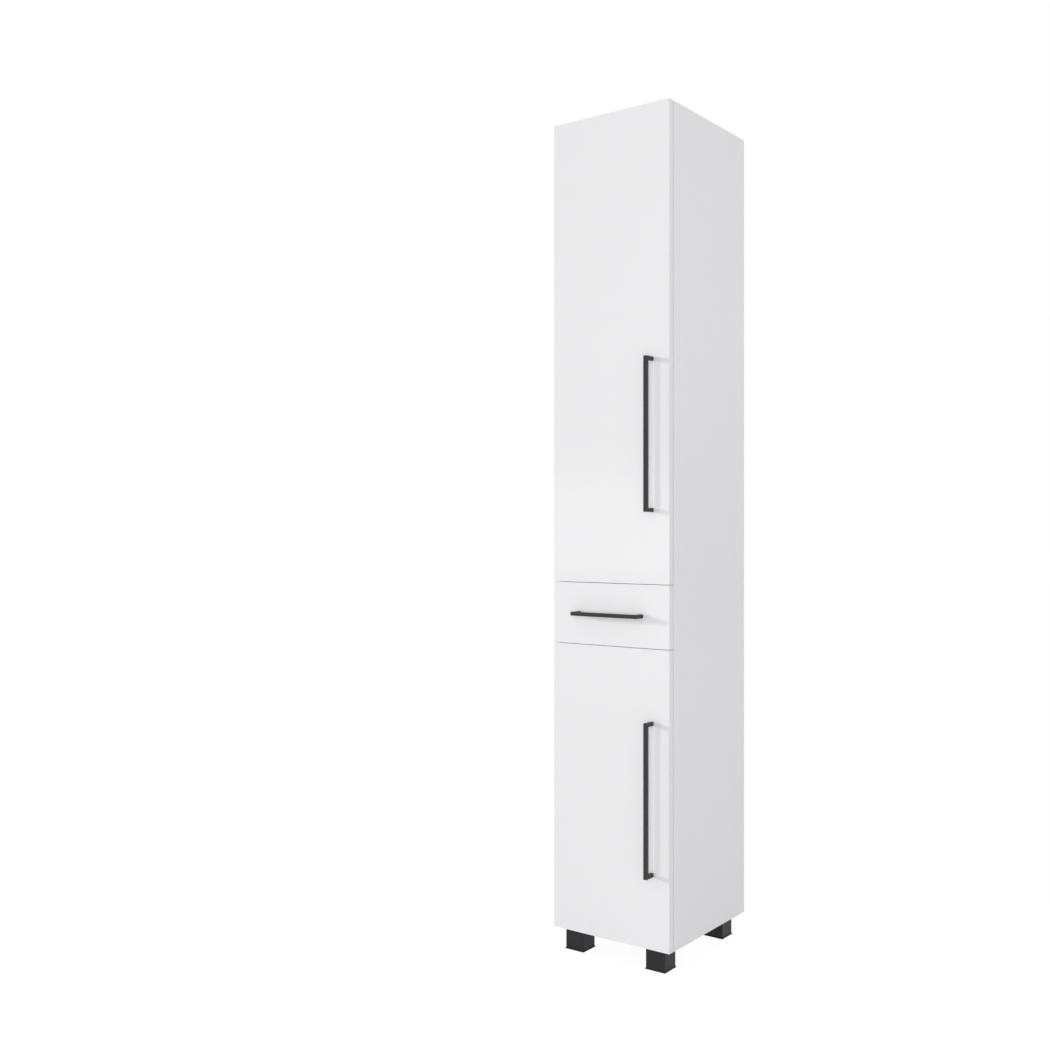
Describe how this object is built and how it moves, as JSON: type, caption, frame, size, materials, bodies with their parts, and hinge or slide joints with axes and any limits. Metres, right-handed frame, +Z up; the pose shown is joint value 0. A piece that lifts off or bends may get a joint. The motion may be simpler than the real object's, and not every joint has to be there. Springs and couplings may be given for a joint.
{
  "type": "tall bathroom cabinet",
  "caption": "Tall narrow bathroom cabinet on short square legs, with an upper and a lower door, a drawer between them and square bar handles.",
  "frame": {"origin": "on the floor, under the middle of the outer box", "axes": "+Z up, the doors face -Y, +X to the right seen from the front"},
  "size_m": [0.3, 0.379, 1.865],
  "materials": {
    "white_front": "smooth white lacquer, half gloss",
    "white_board": "white melamine, satin",
    "white_hdf": "thin white board, satin",
    "black_metal": "matt black powder coat",
    "black_plastic": "matt moulded plastic",
    "zinc": "zinc plated",
    "nickel_steel": "nickel plated pressed steel",
    "slide_steel": "zinc plated rolled steel",
    "ball_steel": "polished",
    "cage_plastic": "moulded",
    "beech": "bare",
    "clear_soft": "soft, translucent"
  },
  "bodies": {
    "cabinet": {"left_side": "white_board", "right_side": "white_board", "top_panel": "white_board", "bottom_panel": "white_board", "upper_divider": "white_board", "lower_divider": "white_board", "back_panel": "white_hdf", "upper_shelf_1": "white_board", "upper_shelf_2": "white_board", "upper_shelf_3": "white_board", "lower_shelf": "white_board", "shelf_pins": "zinc", "cam_bolts": "zinc", "cam_locks": "zinc", "dowels": "beech", "wall_brackets": "zinc", "case_screws": "zinc", "front_left_leg": "black_plastic", "front_right_leg": "black_plastic", "back_left_leg": "black_plastic", "back_right_leg": "black_plastic", "hinge_plates": "zinc", "upper_hinge_arms": "nickel_steel", "lower_hinge_arms": "nickel_steel", "hinge_arm_screws": "zinc", "outer_slides": "slide_steel"},
    "front_left_foot": {"front_left_foot": "black_plastic"},
    "front_right_foot": {"front_right_foot": "black_plastic"},
    "back_left_foot": {"back_left_foot": "black_plastic"},
    "back_right_foot": {"back_right_foot": "black_plastic"},
    "upper_door": {"upper_door": "white_front", "upper_hinge_cups": "nickel_steel", "upper_hinge_pins": "zinc", "upper_cup_screws": "zinc", "upper_handle": "black_metal", "upper_handle_screws": "zinc", "upper_bumpers": "clear_soft"},
    "lower_door": {"lower_door": "white_front", "lower_hinge_cups": "nickel_steel", "lower_hinge_pins": "zinc", "lower_cup_screws": "zinc", "lower_handle": "black_metal", "lower_handle_screws": "zinc", "lower_bumpers": "clear_soft"},
    "drawer": {"drawer_front": "white_front", "drawer_inner_front": "white_board", "drawer_left_side": "white_board", "drawer_right_side": "white_board", "drawer_back": "white_board", "drawer_bottom": "white_hdf", "drawer_handle": "black_metal", "drawer_handle_screws": "zinc", "drawer_screws": "zinc", "drawer_bumpers": "clear_soft", "inner_slides": "slide_steel"},
    "middle_slides": {"middle_slides": "slide_steel"},
    "outer_cages": {"outer_ball_cages": "cage_plastic", "outer_balls": "ball_steel"},
    "inner_cages": {"inner_ball_cages": "cage_plastic", "inner_balls": "ball_steel"}
  },
  "joints": [
    {"name": "upper_door_swing", "type": "hinge", "parent": "cabinet", "child": "upper_door", "pos_m": [-0.1425, -0.1525, 1.349], "axis": [0, 0, -1], "range_deg": [0, 105]},
    {"name": "lower_door_swing", "type": "hinge", "parent": "cabinet", "child": "lower_door", "pos_m": [-0.1425, -0.1525, 0.372], "axis": [0, 0, -1], "range_deg": [0, 105]},
    {"name": "drawer_pull", "type": "slide", "parent": "cabinet", "child": "drawer", "axis": [0, -1, 0], "range_m": [0, 0.28]},
    {"name": "middle_slide", "type": "slide", "parent": "cabinet", "child": "middle_slides", "axis": [0, -1, 0], "range_m": [0, 0.14]},
    {"name": "outer_cage_slide", "type": "slide", "parent": "cabinet", "child": "outer_cages", "axis": [0, -1, 0], "range_m": [0, 0.07]},
    {"name": "inner_cage_slide", "type": "slide", "parent": "cabinet", "child": "inner_cages", "axis": [0, -1, 0], "range_m": [0, 0.21]},
    {"name": "front_left_foot_adjust", "type": "slide", "parent": "cabinet", "child": "front_left_foot", "axis": [0, 0, -1], "range_m": [0, 0.01]},
    {"name": "front_right_foot_adjust", "type": "slide", "parent": "cabinet", "child": "front_right_foot", "axis": [0, 0, -1], "range_m": [0, 0.01]},
    {"name": "back_left_foot_adjust", "type": "slide", "parent": "cabinet", "child": "back_left_foot", "axis": [0, 0, -1], "range_m": [0, 0.01]},
    {"name": "back_right_foot_adjust", "type": "slide", "parent": "cabinet", "child": "back_right_foot", "axis": [0, 0, -1], "range_m": [0, 0.01]}
  ],
  "couplings": [
    {"joint": "middle_slide", "follows": "drawer_pull", "ratio": 0.5},
    {"joint": "outer_cage_slide", "follows": "drawer_pull", "ratio": 0.25},
    {"joint": "inner_cage_slide", "follows": "drawer_pull", "ratio": 0.75}
  ]
}
